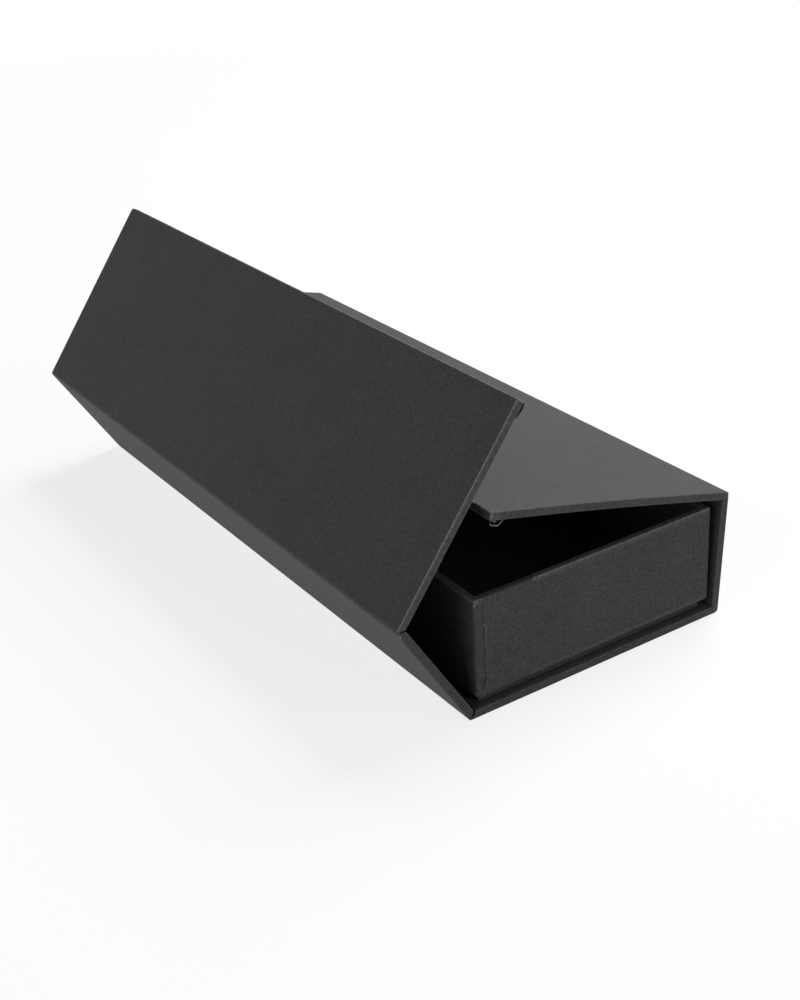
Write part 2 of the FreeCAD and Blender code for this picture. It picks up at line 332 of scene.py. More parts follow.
greyboard = recycled_board()
for name, panel in panels.items():
    corner = max(panel.corner - paper, 0)
    board = name + "_board"
    shown = name + "_greyboard"
    pressed_copy(board, shown, greyboard, board_press, panel.outwards, corner, panel)

# ---------------------------------------------------------------------------------------
# Closing magnets and steel discs: two nickel-plated magnets sunk in the flap's board, and
# two stamped discs of zinc-plated steel under them in the lid's board.
# ---------------------------------------------------------------------------------------


def plated(name, low, high, rough):
    finish, wire = new_finish(name)
    marks = wire.grain(wire.place(), 0.8 * MM, 6.0, 0.7)
    wire.surface(
        Base_Color=marks.between(low, high), Metallic=1.0, Roughness=rough + marks * 0.15
    )
    return finish


def paint(node, finish):
    """Gives a carried-over solid its finish."""
    mesh = frame["nodes"][node].data
    mesh.materials.clear()
    mesh.materials.append(finish)


paint("flap_magnets", plated("nickel plate", grey(0.55, 0.03), grey(0.68, 0.02), 0.14))
zinc = plated("zinc plate", grey(0.48, -0.02), grey(0.6, -0.01), 0.3)
pressed_copy("lid_steel_discs", "lid_closing_discs", zinc, 0, panel=panels["right_lid"])

# ---------------------------------------------------------------------------------------
# Casing covers: black uncoated paper with short fibres, one sheet on the outside of base,
# walls, flap and lid. It bends tightly over their near, far and free edges, where it is painted
# a little paler, partly for the black rubbed off and partly as a painted highlight. It is tucked
# at the corners and turned in 15 mm, and is mitred at folds.
# ---------------------------------------------------------------------------------------
turn_in = 15 * MM
edge_round = 0.45 * MM
mitre_gap = 0.05 * MM
outer_gap = 0.02 * MM
tuck_reach = 3.2 * MM
tuck_places = (1.0 * MM, 1.75 * MM, 2.6 * MM)
tuck_wide = 0.36 * MM
wave_size = 12 * MM
wave_height = 0.03 * MM
# How pale the paper is painted across its bend round an edge: partly rubbing, partly a painted highlight where the
# rounded edge catches the light.
outer_wear_and_highlight = (0.1, 0.35, 0.8, 0.7, 0.35, 0.1)
inner_wear_and_highlight = (0.1, 0.35, 0.7, 0.6, 0.3, 0.1)
sheet_step = 3 * MM
bend_steps = 5
corner_steps = 4


def black_paper(name, level, rubbed_and_highlit):
    """Fibred black paper: level is its usual grey, and the second grey is the one painted on edges, partly for
    rubbing and partly as a painted highlight.
    """
    finish, wire = new_finish(name)
    place = wire.place()
    fibres = wire.grain(place, 0.95 * MM, 3.0, 0.6)
    drawn = wire.node("ShaderNodeMapping", {}, {0: place, 2: (0.5, 0.3, 0.8), 3: (1.0, 0.3, 1.0)})
    strands = wire.grain(drawn, 0.6 * MM, 2.0)
    clouds = wire.grain(place, 18 * MM, 3.0)
    specks = wire.grain(place, 0.32 * MM, 1.0).stretch(0.66, 0.8)
    mottle = (
        fibres.stretch(0.25, 0.75, -1, 1) * 0.55
        + strands.stretch(0.25, 0.75, -1, 1) * 0.3
        + clouds.stretch(0.3, 0.7, -1, 1) * 0.12
    )
    # This attribute paints edges paler towards the second grey: partly the black rubbed off, partly a painted
    # highlight where rounded edges catch the light.
    rub = wire.node("ShaderNodeAttribute", {"attribute_name": "rub"}, {}, 2)
    worn_and_highlit = rub * fibres.stretch(0.3, 0.55, 0.3, 1.0)
    body = mottle.stretch(-1, 1).between(grey(level * 0.1), grey(level * 1.9))
    speckled = (specks * 0.5).between(body, grey(level * 3.5, 0.02))
    height = fibres * 0.6 + strands * 0.4
    bump = wire.node(
        "ShaderNodeBump", {}, {"Strength": 0.6, "Distance": 0.08 * MM, "Height": height}
    )
    wire.surface(
        Base_Color=worn_and_highlit.between(speckled, grey(rubbed_and_highlit)),
        Roughness=0.68 + mottle * 0.06,
        Specular_IOR_Level=0.25,
        IOR=1.45,
        Normal=bump,
    )
    return finish


def ripple(x, y, z, size, height):
    """A smooth uneven height from 0 to about the given one, on a pattern of that size."""
    level = noise.noise(Vector((x, y, z)) / size)
    return height * (0.5 + 0.5 * max(-1.0, min(1.0, level)))


def arc(centre_depth, centre_w, radius, start, stop):
    """Points of a quarter round as depth in from the edge and height in the thickness."""
    turns = [math.radians(angle) for angle in steps(start, stop, (stop - start) / bend_steps)]
    return [
        (centre_depth - radius * math.cos(t), centre_w + radius * math.sin(t)) for t in turns
    ]


def edge_stations(runs):
    """Places along straight runs, each with its outward direction, turned at the corners.
    A run is its list of places and its outward angle."""
    stations = []
    before = None
    for places, angle in runs:
        if before is not None:
            for between in steps(before, angle, (angle - before) / corner_steps)[1:-1]:
                turn = math.radians(between)
                stations.append((Vector(places[0]), Vector((math.cos(turn), math.sin(turn)))))
        out = Vector((math.cos(math.radians(angle)), math.sin(math.radians(angle))))
        stations += [(Vector(place), out) for place in places]
        before = angle
    return stations


def grid_faces(rows, across):
    """The faces between neighbouring points that lie in rows."""
    return [
        (j * across + i, j * across + i + 1, (j + 1) * across + i + 1, (j + 1) * across + i)
        for j in range(rows - 1)
        for i in range(across - 1)
    ]


def turned_edge(stations, profile, room, radius, sunk, wear):
    """Carries a profile of depth, height and edge paleness along the stations of an edge; the paleness is partly
    rubbing and partly painted highlight.
    """
    points, rubs_and_highlights = [], []
    for depth, height, rub in profile:
        x_low, x_high, y_low, y_high = room(depth, height)
        for place, out in stations:
            point = place + out * (radius - depth - sunk(place, out, depth, height))
            x = min(max(point.x, x_low), x_high)
            y = min(max(point.y, y_low), y_high)
            points.append((x, y, height))
            rubs_and_highlights.append(wear(place, out, depth, rub))
    faces = [(a, d, c, b) for a, b, c, d in grid_faces(len(profile), len(stations))]
    return points, faces, rubs_and_highlights


def flat_field(us, ys, height):
    """A sheet over a grid, at a height that is a function of the place."""
    points = [(u, y, height(u, y)) for y in ys for u in us]
    return points, grid_faces(len(ys), len(us)), [0.0] * len(points)


def join(*parts):
    """Several lists of points, faces and edge paleness (rubbing and painted highlight) as one."""
    points, faces, rubs_and_highlights = [], [], []
    for more_points, more_faces, more_rubs in parts:
        first = len(points)
        points += more_points
        rubs_and_highlights += more_rubs
        faces += [tuple(first + i for i in face) for face in more_faces]
    return points, faces, rubs_and_highlights


def thickened(piece, thick):
    """Gives a sheet its thickness towards its inside."""
    solid = piece.modifiers.new("thickness", "SOLIDIFY")
    solid.thickness = thick
    solid.offset = -1
    bpy.context.scene.collection.objects.link(piece)
    bpy.context.view_layer.update()
    shown = piece.evaluated_get(bpy.context.evaluated_depsgraph_get())
    piece.data = bpy.data.meshes.new_from_object(shown)
    piece.data.name = piece.name
    piece.modifiers.clear()
    bpy.context.scene.collection.objects.unlink(piece)


def sheet_of(name, shape, place=Matrix.Identity(4), thick=None):
    """A piece from points, faces and edge paleness (rubbing and painted highlight), with faces outwards and the
    paper's thickness.
    """
    points, faces, rubs_and_highlights = shape
    mesh = bpy.data.meshes.new(name)
    mesh.from_pydata(points, [], faces)
    mesh.attributes.new("rub", "FLOAT", "POINT").data.foreach_set("value", rubs_and_highlights)
    mesh.transform(place)
    if place.determinant() < 0:
        mesh.flip_normals()
    work = bmesh.new()
    work.from_mesh(mesh)
    bmesh.ops.remove_doubles(work, verts=work.verts, dist=0.0015 * MM)
    bmesh.ops.dissolve_degenerate(work, edges=work.edges, dist=0.0015 * MM)
    work.to_mesh(mesh)
    work.free()
    piece = bpy.data.objects.new(name, mesh)
    if thick:
        thickened(piece, thick)
    shade_by_angle(piece.data)
    return piece


def groove(place, centre, wide):
    """1 in the middle of a groove and 0 outside it."""
    return max(0.0, 1 - abs(place - centre) / wide)


def casing_cover(panel):
    """A panel's outer face, and its ends and free edge bent round the board and turned in."""
    inner = -(half_thick - paper)
    radius = max(panel.corner, edge_round) + 0.1 * MM
    outer_bend = arc(edge_round, half_thick - edge_round, edge_round, 90, 0)
    inner_bend = arc(edge_round, inner + edge_round, edge_round, 0, -90)
    profile = [(radius, half_thick, 0)]
    profile += [(*at, rub) for at, rub in zip(outer_bend, outer_wear_and_highlight)]
    profile += [(*at, rub) for at, rub in zip(inner_bend, inner_wear_and_highlight)]
    profile += [(depth, inner, 0) for depth in (2 * MM, 5 * MM, 10 * MM, turn_in)]
    last = panel.width - (radius if panel.free_edge else outer_gap)
    end = half_length - radius
    us = [outer_gap] + steps(2 * MM, last - tuck_reach, sheet_step)
    us += steps(last - tuck_reach, last, tuck_wide / 3)[1:] if panel.free_edge else [last]
    ys = steps(-end, end, sheet_step)

    def room(depth, w):
        """The panel's plan, brought in from its edges and cut to its mitres."""
        mitre = outer_gap if w > half_thick - 0.01 * MM else max(-w, 0.0) + mitre_gap
        far = panel.width - (depth if panel.free_edge else mitre)
        return mitre, far, -half_length + depth, half_length - depth

    def sunk(place, out, depth, w):
        """How far the paper lies below a true edge: its waves, and the tucks at corners."""
        if depth >= edge_round:
            return 0.0
        low = ripple(place.x, place.y, w, wave_size, wave_height)
        return low + panel.tuck_deep * tucked(place, out) * (1 if w < 1.1 * MM else 0.4)

    def tucked(place, out):
        """1 in the creases where the paper is gathered beside a free corner, 0 elsewhere."""
        if not panel.tuck_deep or abs(out.y) < 0.9:
            return 0.0
        from_corner = panel.width - place.x
        return sum(groove(from_corner, at, tuck_wide) for at in tuck_places)

    def wear(place, out, depth, rub):
        """How pale an edge is painted, partly for the black rubbed off and partly as a painted highlight: most on
        free edges, ends and the ridges of gathered paper.
        """
        worn_and_highlit = rub * (panel.end_wear + (panel.wear - panel.end_wear) * out.x**2)
        if panel.free_edge and depth < edge_round and out.y < 0:
            # At the near end of a free edge the rounded corner is painted pale, partly rubbing and partly painted
            # highlight; beside gathered paper the ridges between creases get a painted highlight and the creases
            # stay dark.
            if out.x > 0.05:
                return max(worn_and_highlit, 0.75)
            if panel.tuck_deep and panel.width - place.x < tuck_reach:
                return max(worn_and_highlit, 0.5 * (1 - tucked(place, out)))
        return worn_and_highlit

    runs = [([(u, -end) for u in us], -90), ([(u, end) for u in reversed(us)], 90)]
    if panel.free_edge:
        runs.insert(1, ([(last, y) for y in ys], 0))
        edges = [turned_edge(edge_stations(runs), profile, room, radius, sunk, wear)]
    else:
        edges = [
            turned_edge(edge_stations([run]), profile, room, radius, sunk, wear)
            for run in runs
        ]
    points, faces, rubs_and_highlights = join(flat_field(us, ys, lambda u, y: half_thick), *edges)
    points = [panel.shaped(point) for point in points]
    piece = sheet_of(panel.name + "_cover", (points, faces, rubs_and_highlights), panel.place, paper)
    standing_for(piece, panel.name + "_wrap", covering_paper)


covering_paper = black_paper("covering paper", 0.030, 0.14)
for panel in panels.values():
    casing_cover(panel)

# ---------------------------------------------------------------------------------------
# Casing linings: thinner black paper pasted inside each panel, over the turned-in edges
# of the cover. It stops 2 mm short of the edges, and where the turn-ins end under it the
# step of one paper shows through as a faint frame.
# ---------------------------------------------------------------------------------------
lining_paper = black_paper("lining paper", 0.028, 0.06)
liner_inset = 2 * MM
step_run = 0.9 * MM


def casing_liner(panel):
    """A panel's lining, with the step of the turn-ins under it."""
    start = half_thick + 3 * mitre_gap
    stop = panel.width - (liner_inset if panel.free_edge else start)

    def inner_face(u, y):
        into_window = half_length - turn_in - abs(y)
        if panel.free_edge:
            into_window = min(into_window, panel.width - turn_in - u)
        share = min(max(into_window / step_run, 0), 1)
        share = share * share * (3 - 2 * share)
        waves = ripple(u, y, 3.0, size=30 * MM, height=0.02 * MM)
        return share * paper - half_thick + waves

    def with_step(values, edge):
        return sorted(values + [edge - step_run * share for share in (0, 0.33, 0.66, 1)])

    us = steps(start, stop, sheet_step)
    if panel.free_edge:
        us = with_step(us, panel.width - turn_in)
    ys = steps(0, half_length - liner_inset, sheet_step)[1:]
    ys = with_step(ys, half_length - turn_in)
    ys = [-y for y in reversed(ys)] + [0.0] + ys
    points, faces, rubs_and_highlights = flat_field(us, ys, inner_face)
    points = [panel.shaped(point) for point in points]
    faces = [tuple(reversed(face)) for face in faces]
    piece = sheet_of(panel.name + "_lining", (points, faces, rubs_and_highlights), panel.place, paper)
    standing_for(piece, panel.name + "_liner", lining_paper)


for panel in panels.values():
    casing_liner(panel)

# ---------------------------------------------------------------------------------------
# Folds: where cover and lining bend from one panel to the next, glued together with no
# board between them. Each is a round of paper on the fold's axis, and its ends close the
# corner between the covers' mitred ends. A fold that stands open is creased there.
# ---------------------------------------------------------------------------------------
fold_paper = black_paper("fold paper", 0.030, 0.09)
fold_play = 0.01 * MM
fold_short = 0.03 * MM
around = 96
crease_past = 1.1 * MM
crease_side = 0.15 * MM
crease_per_turn = 6.5 * MM
least_opening = 0.2


def fold_round(name, fold, first_way, second_way, bend):
    """The paper round a fold's axis, between panels that leave it in two ways."""
    axis = Vector(folds[fold]["pos_m"])
    radius = half_thick - fold_play
    end = half_length - fold_short
    inside = first_way + second_way
    inside_turn = math.atan2(inside.z, inside.x)
    half_span = (math.pi - first_way.angle(second_way)) / 2
    peak = (radius - bend) / math.cos(half_span)
    tangent = math.atan2(bend * math.sin(half_span), peak + bend * math.cos(half_span))
    opened = max(-2 * half_span + math.pi / 2, 0.0)
    crease_spread = math.tan(opened / 2 + 0.08)
    crease_deep = max(opened - least_opening, 0.0) * crease_per_turn

    def reach(turn):
        """How far out the paper runs: on both panels' faces to a tight bend between them."""
        off = math.pi - abs(math.remainder(turn - inside_turn, 2 * math.pi))
        if off > half_span:
            return radius
        if off > tangent:
            return radius / math.cos(half_span - off)
        side = peak * math.sin(off)
        return peak * math.cos(off) + math.sqrt(bend**2 - side**2)

    flat = radius - edge_round
    rows = [(0.0, flat * share) for share in (0.0, 0.2, 0.4, 0.6, 0.8)]
    for turn in steps(0, 90, 18):
        sink = edge_round * (1 - math.cos(math.radians(turn)))
        rows.append((sink, flat + edge_round * math.sin(math.radians(turn))))
    profile = [(-end + sink, r) for sink, r in rows]
    profile += [(y, radius) for y in steps(-end + sheet_step, end - sheet_step, sheet_step)]
    profile += [(end - sink, r) for sink, r in reversed(rows)]
    turns = steps(0, 2 * math.pi, 2 * math.pi / around)[:-1]
    points, rubs_and_highlights = [], []
    for y, r in profile:
        at_end = 1 if abs(y) > end - edge_round * 1.01 else 0
        for turn in turns:
            way_x, way_z = math.cos(turn), math.sin(turn)
            sink = ripple(y, way_x * MM, way_z * MM, wave_size, wave_height)
            level = r * reach(turn) / radius - sink * (r > flat)
            past = level * math.cos(turn - inside_turn) + crease_past
            half_gap = past * crease_spread - abs(level * math.sin(turn - inside_turn))
            crease = min(max(half_gap / crease_side, 0.0), 1.0) * min(max(past / MM, 0.0), 1.0)
            inwards = math.copysign(crease * crease_deep * at_end, y)
            x = min(max(axis.x + level * way_x, cad_box[0].x), cad_box[1].x)
            points.append((x, y - inwards, axis.z + level * way_z))
            # The fold's paper is painted paler, most at its rounded ends: partly creased wear, partly a painted
            # highlight.
            rubs_and_highlights.append(0.5 if at_end else 0.25)
    faces = [
        (
            row * around + i,
            (row + 1) * around + i,
            (row + 1) * around + (i + 1) % around,
            row * around + (i + 1) % around,
        )
        for row in range(len(profile) - 1)
        for i in range(around)
    ]
    piece = sheet_of(name + "_round", (points, faces, rubs_and_highlights))
    standing_for(piece, name, fold_paper)


ways = {name: panel.across for name, panel in panels.items()}
fold_round("left_bottom_fold", "left_wall_fold", ways["base"], ways["left_wall"], 0.35 * MM)
fold_round("left_top_fold", "flap_fold", -ways["left_wall"], ways["left_flap"], 0.35 * MM)
fold_round("right_bottom_fold", "right_wall_fold", -ways["base"], ways["right_wall"], 1.0 * MM)
fold_round("right_top_fold", "lid_fold", -ways["right_wall"], ways["right_lid"], 0.7 * MM)

# ---------------------------------------------------------------------------------------
# Seat and tray boards: the covered board that raises the tray off the base, and the tray's
# floor and four walls, butted together.
# ---------------------------------------------------------------------------------------
tray_press = 0.4 * MM
tray_board_corner = 0.6 * MM
for node in frame["nodes"]:
    if node.startswith("tray_") and node.endswith("_board"):
        upright = tray_board_corner if node != "tray_seat_board" else 0
        name = node.replace("_board", "_greyboard")
        pressed_copy(node, name, greyboard, tray_press, corner=upright)
paint("tray_seat_wrap", covering_paper)

# ---------------------------------------------------------------------------------------
# Corner stays: short L-shaped pieces of gummed brown tape that hold the tray's walls
# together at the corners before it is covered.
# ---------------------------------------------------------------------------------------
stay_leg = 9 * MM
tray_corner = 0.9 * MM


def gummed_tape():
    finish, wire = new_finish("gummed tape")
    drawn = wire.node("ShaderNodeMapping", {}, {0: wire.place(), 3: (1.0, 1.0, 0.15)})
    streaks = wire.grain(drawn, 0.6 * MM, 4.0)
    wire.surface(
        Base_Color=streaks.between((0.30, 0.19, 0.10, 1), (0.40, 0.28, 0.16, 1)),
        Roughness=0.5 + streaks * 0.25,
    )
    return finish


def corner_stays():
    """Four tapes, each bent round the boards of one corner."""
    low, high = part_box("tray_corner_stays")
    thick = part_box("tray_left_board")[0].x - low.x
    bend = tray_corner - paper
    legs = stay_leg - bend
    shapes = []
    for side in (-1, 1):
        for end in (-1, 1):
            corner = Vector((high.x if side > 0 else low.x, high.y if end > 0 else low.y))
            run = [(bend + legs, 0.0), (bend + legs * 0.5, 0.0)]
            run += [
                (bend - bend * math.sin(t), bend - bend * math.cos(t))
                for t in steps(0, math.pi / 2, math.pi / 12)
            ]
            run += [(0.0, bend + legs * 0.5), (0.0, bend + legs)]
            points = [
                (corner.x - side * x, corner.y - end * y, z)
                for z in (low.z, high.z)
                for x, y in run
            ]
            count = len(run)
            faces = [(i, i + 1, count + i + 1, count + i) for i in range(count - 1)]
            if side * end > 0:
                faces = [tuple(reversed(face)) for face in faces]
            shapes.append((points, faces, [0.0] * len(points)))
    piece = sheet_of("tray_corner_tapes", join(*shapes), thick=thick)
    standing_for(piece, "tray_corner_stays", gummed_tape())


corner_stays()

# ---------------------------------------------------------------------------------------
# Tray cover and side lining: the black sheet drawn round the tray's walls, over their rim
# and 15 mm down the inside, and under the floor, and the strip of black paper that lines
# the walls inside, from just below the rim to the floor. Both are a profile carried round.
# ---------------------------------------------------------------------------------------
tray_low, tray_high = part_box("tray_wrap")
rim_height, foot_height = tray_high.z, tray_low.z
rim_turn_in = 15 * MM
foot_turn_in = 12 * MM
wall_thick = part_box("tray_left_board")[1].x - tray_low.x + paper
rim_round = 0.6 * MM
inner_round = 0.5 * MM
foot_round = 0.6 * MM
# How pale the tray cover is painted round its rim: partly rubbing, partly a painted highlight along the rounded
# rim.
inner_rim_wear_and_highlight = (0, 0.1, 0.3, 0.5, 0.3, 0.1)
outer_rim_wear_and_highlight = (0.1, 0.4, 0.8, 0.8, 0.5, 0.2)
lining_drop = 2 * MM
floor_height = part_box("tray_floor_lining")[0].z


def new_rule(name, sizes):
    """A tree of geometry nodes with a named input for each size, and wires to them."""
    tree = bpy.data.node_groups.new(name, "GeometryNodeTree")
    tree.interface.new_socket("Geometry", in_out="INPUT", socket_type="NodeSocketGeometry")
    tree.interface.new_socket("Geometry", in_out="OUTPUT", socket_type="NodeSocketGeometry")
    for size, kind in sizes.items():
        tree.interface.new_socket(size, in_out="INPUT", socket_type="NodeSocket" + kind)
    given = tree.nodes.new("NodeGroupInput")
    return tree, {socket.name: Wire(tree, socket) for socket in given.outputs}


def end_rule(geometry, finish):
    """Closes a tree: instances made real, and the material set."""
    real = geometry.node("GeometryNodeRealizeInstances", {}, {"Geometry": geometry})
    coated = real.node("GeometryNodeSetMaterial", {}, {"Geometry": real, "Material": finish})
    coated.node("NodeGroupOutput", {}, {0: coated})


def by_rule(name, mesh, tree, **values):
    """The plain mesh that a tree makes of another, with its inputs set."""
    maker = bpy.data.objects.new(name, mesh)
    bpy.context.scene.collection.objects.link(maker)
    modifier = maker.modifiers.new("rule", "NODES")
    modifier.node_group = tree
    for socket in tree.interface.items_tree:
        if socket.in_out == "INPUT" and socket.name in values:
            modifier[socket.identifier] = values[socket.name]
    bpy.context.view_layer.update()
    shown = maker.evaluated_get(bpy.context.evaluated_depsgraph_get())
    made = bpy.data.meshes.new_from_object(shown)
    bpy.data.objects.remove(maker)
    return made


def drawn_round_rule():
    """Carries a profile round a box: x is the depth in from the outline, y the height."""
    sizes = {
        "Width": "Float",
        "Length": "Float",
        "Corner": "Float",
        "Unevenness": "Float",
        "Paper": "Material",
    }
    tree, given = new_rule("drawn round a box", sizes)
    wide, long = given["Width"], given["Length"]
    outline = wide.node(
        "GeometryNodeCurvePrimitiveQuadrilateral", {"mode": "RECTANGLE"}, {0: wide, 1: long}
    )
    outline = outline.node("GeometryNodeSubdivideCurve", {}, {0: outline, 1: 40})
    outline = outline.node(
        "GeometryNodeFilletCurve",
        {"mode": "POLY"},
        {"Curve": outline, "Count": 4, "Radius": given["Corner"]},
    )
    outline = outline.node("GeometryNodeSetCurveNormal", {"mode": "Z_UP"}, {0: outline})
    profile = outline.node("GeometryNodeMeshToCurve", {}, {0: given["Geometry"]})
    swept = outline.node("GeometryNodeCurveToMesh", {}, {0: outline, 1: profile})
    depth = swept.node("GeometryNodeInputNamedAttribute", {"data_type": "FLOAT"}, {0: "depth"})
    spot = swept.node("GeometryNodeInputPosition")
    parts = [swept.node("ShaderNodeSeparateXYZ", {}, {0: spot}, axis) for axis in range(3)]
    held = []
    for part, size in zip(parts, (wide, long)):
        limit = size * 0.5 - depth
        held.append(part.maths("MINIMUM", limit, part.maths("MAXIMUM", part, limit * -1)))
    inside = swept.node("ShaderNodeCombineXYZ", {}, {0: held[0], 1: held[1], 2: parts[2]})
    swept = swept.node("GeometryNodeSetPosition", {}, {"Geometry": swept, "Position": inside})
    swept = swept.node("GeometryNodeMergeByDistance", {}, {0: swept, "Distance": 0.0015 * MM})
    waves = spot.grain(spot, 9 * MM, 1.0)
    out = swept.node("GeometryNodeInputNormal")
    sink = swept.node(
        "ShaderNodeVectorMath",
        {"operation": "SCALE"},
        {0: out, "Scale": waves * given["Unevenness"] * -1},
    )
    swept = swept.node("GeometryNodeSetPosition", {}, {"Geometry": swept, "Offset": sink})
    end_rule(swept, given["Paper"])
    return tree


def carried_round(name, profile, node, finish, unevenness):
    """A sheet of the profile's depths, heights and edge paleness (rubbing and painted highlight), round the tray's
    outline.
    """
    mesh = bpy.data.meshes.new(name + "_profile")
    pairs = [(i, i + 1) for i in range(len(profile) - 1)]
    mesh.from_pydata([(-depth, -height, 0) for depth, height, rub in profile], pairs, [])
    for attribute, column in (("depth", 0), ("rub", 2)):
        values = [row[column] for row in profile]
        mesh.attributes.new(attribute, "FLOAT", "POINT").data.foreach_set("value", values)
    mesh = by_rule(
        name,
        mesh,
        drawn_round,
        Width=tray_high.x - tray_low.x,
        Length=tray_high.y - tray_low.y,
        Corner=tray_corner,
        Unevenness=unevenness,
        Paper=finish,
    )
    piece = bpy.data.objects.new(name, mesh)
    thickened(piece, paper)
    shade_by_angle(piece.data)
    standing_for(piece, node, finish)


drawn_round = drawn_round_rule()
rim_bend = arc(rim_round, rim_height - rim_round, rim_round, 90, 0)
inside_bend = [
    (wall_thick - d, z)
    for d, z in arc(inner_round, rim_height - inner_round, inner_round, 0, 90)
]
foot_bend = arc(foot_round, foot_height + foot_round, foot_round, 0, -90)
cover_profile = [(wall_thick, rim_height - drop, 0) for drop in (rim_turn_in, 8 * MM)]
cover_profile += [(*at, rub) for at, rub in zip(inside_bend, inner_rim_wear_and_highlight)]
cover_profile += [(*at, rub) for at, rub in zip(rim_bend, outer_rim_wear_and_highlight)]
cover_profile += [
    (0, z, 0) for z in steps(rim_height - 2 * MM, foot_height + 2 * MM, -sheet_step)
]
cover_profile += [(*at, 0.2) for at in foot_bend] + [(foot_turn_in, foot_height, 0)]
carried_round("tray_cover", cover_profile, "tray_wrap", covering_paper, 0.05 * MM)

lining_step = rim_height - rim_turn_in
over_turn_in = wall_thick + paper
side_profile = [
    (wall_thick, floor_height + paper, 0),
    (wall_thick, lining_step - 6 * MM, 0),
    (wall_thick, lining_step - step_run, 0),
    (wall_thick + paper * 0.5, lining_step - step_run * 0.5, 0),
    (over_turn_in, lining_step, 0),
    (over_turn_in, lining_step + 6 * MM, 0),
    (over_turn_in, rim_height - lining_drop, 0),
]
carried_round("tray_side_lining_strip", side_profile, "tray_side_lining", lining_paper, 0)

# ---------------------------------------------------------------------------------------
# Tray floor lining: a sheet of the same thin black paper, cut to the tray's inside and laid
# in last over the floor board. Its glue leaves it very slightly uneven.
# ---------------------------------------------------------------------------------------


def tray_floor_lining():
    """The sheet on the tray's floor."""
    low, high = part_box("tray_floor_lining")
    shape = flat_field(
        steps(low.x, high.x, 4 * MM),
        steps(low.y, high.y, 4 * MM),
        lambda x, y: high.z - ripple(x, y, 1.0, 25 * MM, 0.03 * MM),
    )
    piece = sheet_of("tray_floor_lining_sheet", shape, thick=paper)
    standing_for(piece, "tray_floor_lining", lining_paper)


tray_floor_lining()

# ---------------------------------------------------------------------------------------
# Tray seam: the near wall's cover is a second sheet that laps over the corner tab of the
# first. Its cut edge runs 3.5 mm from the corner, slants off at the foot and stands proud.
# ---------------------------------------------------------------------------------------
seam_in = 3.5 * MM
slant_height = 4.3 * MM
tip_height = 0.9 * MM
lap_paper = 0.12 * MM
lap_offsets = [0.0, 0.08, 0.2, 0.4, 0.7, 1.2, 2.0, 4.0, 7.0, 10.0, 14.0, 18.0, 22.0, 26.0]


def near_wall_lap():
    """The lap over the near wall: rows run over the rim and down, offsets across it."""
    rows = [row[:2] for row in cover_profile[1:-1]]
    near = tray_low.y
    slant = foot_height + slant_height
    tip_top = foot_height + tip_height
    points, rubs_and_highlights = [], []
    for row, (depth, z) in enumerate(rows):
        before = Vector(rows[max(row - 1, 0)])
        after = Vector(rows[min(row + 1, len(rows) - 1)])
        along = (after - before).normalized()
        wobble = ripple(7.0, depth, z, size=2.5 * MM, height=0.35 * MM) - 0.17 * MM
        cut = seam_in + wobble - max(slant - z, 0) * 0.5
        curl = ripple(3.0, depth, z, size=3 * MM, height=0.34 * MM) + 0.12 * MM
        for offset in lap_offsets:
            offset *= MM
            proud = 0.1 * MM * (1 - offset / (15 * MM))
            proud += curl * max(0.0, 1 - offset / (0.7 * MM)) ** 2
            y = near + depth + along.y * proud
            hang = 0.9 * MM * max(0.0, 1 - offset / (2 * MM)) * min(max(tip_top - z, 0) / MM, 1)
            points.append((tray_low.x + cut + offset, y, z - along.x * proud - hang))
            rubs_and_highlights.append(max(0.0, 0.45 - offset / (0.4 * MM)))
    faces = [(a, d, c, b) for a, b, c, d in grid_faces(len(rows), len(lap_offsets))]
    piece = sheet_of("tray_near_lap", (points, faces, rubs_and_highlights), thick=lap_paper)
    added_to(piece, "tray_wrap", covering_paper)


near_wall_lap()

# ---------------------------------------------------------------------------------------
# Loose paper at two free corners, where the glue has let go: a strip of turn-in hangs in a
# loop under the lid's near corner, and a fold of it stands off inside the flap's.
# ---------------------------------------------------------------------------------------
loop_length = 4.4 * MM
loop_drop = 1.3 * MM
loop_lowest = 0.4
loop_rows = ((0.17 * MM, -0.3 * MM), (0.23 * MM, -0.08 * MM), (0.32 * MM, 0.15 * MM))
loop_wear = [0.95, 0.6, 0.3]
blister_length = 5 * MM
blister_rise = 0.56 * MM


def lid_loop():
    """The strip's stations run from where it leaves the lid to the lid's corner."""
    panel = panels["right_lid"]
    points = []
    stations = steps(0, 1, 0.04)
    for share in stations:
        u = panel.width - loop_length * (1 - share) - 0.12 * MM
        drop = math.sin(min(share / loop_lowest, 1.0) * math.pi / 2) ** 1.5
        drop *= loop_drop * (1 - 0.35 * max(share - loop_lowest, 0) / (1 - loop_lowest))
        drop += ripple(share, 2.0, 5.0, size=0.2, height=0.15 * MM) * math.sin(share * math.pi)
        if share > 0.97:
            drop = 0.2 * MM
        w = -half_thick - drop + 0.1 * MM
        points += [panel.shaped((u, y - half_length, w + rise)) for y, rise in loop_rows]
    faces = grid_faces(len(stations), len(loop_rows))
    rubs_and_highlights = loop_wear * len(stations)
    piece = sheet_of("lid_loose_turn_in", (points, faces, rubs_and_highlights), panel.place, paper)
    added_to(piece, "right_lid_wrap", covering_paper)


